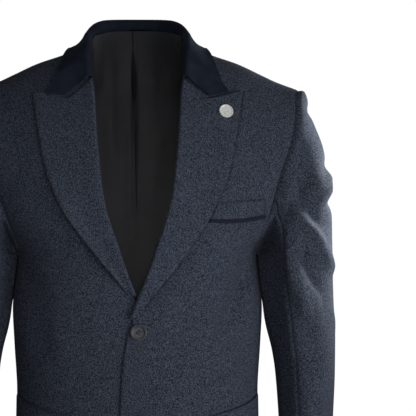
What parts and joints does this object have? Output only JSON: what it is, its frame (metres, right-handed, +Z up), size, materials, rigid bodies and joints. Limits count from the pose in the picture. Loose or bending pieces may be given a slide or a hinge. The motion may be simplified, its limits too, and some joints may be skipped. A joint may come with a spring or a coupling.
{
  "type": "tweed overcoat",
  "caption": "Single-breasted tweed overcoat with velvet collar, peak lapels, welt breast pocket and flap pockets, standing open and hollow as if worn.",
  "frame": {"origin": "midway between the two side neck points, on the line where the wearer's shoulders carry the coat", "axes": "+Z up; -Y is the front of the coat; +X is the wearer's left side"},
  "size_m": [0.5678, 0.3035, 0.987],
  "materials": {
    "tweed": "charcoal-navy salt-and-pepper wool tweed, brushed nap",
    "velvet": "dark navy cotton velvet, short pile",
    "lining": "black satin-weave lining",
    "trim": "dark navy piping",
    "button": "dark grey resin, semi-gloss",
    "pin": "brushed silver-white metal"
  },
  "bodies": {
    "root": {"front_left": "tweed", "front_right": "tweed", "back_left": "tweed", "back_right": "tweed", "sleeve_upper_left": "tweed", "sleeve_upper_right": "tweed", "sleeve_under_left": "tweed", "sleeve_under_right": "tweed", "lapel_left": "tweed", "lapel_right": "tweed", "collar": "velvet", "lining_back": "lining", "breast_welt": "tweed", "breast_piping": "trim", "pocket_flap_left": "tweed", "pocket_flap_right": "tweed", "front_button_1": "button", "front_button_2": "button", "front_button_3": "button", "lapel_pin": "pin"}
  },
  "joints": []
}
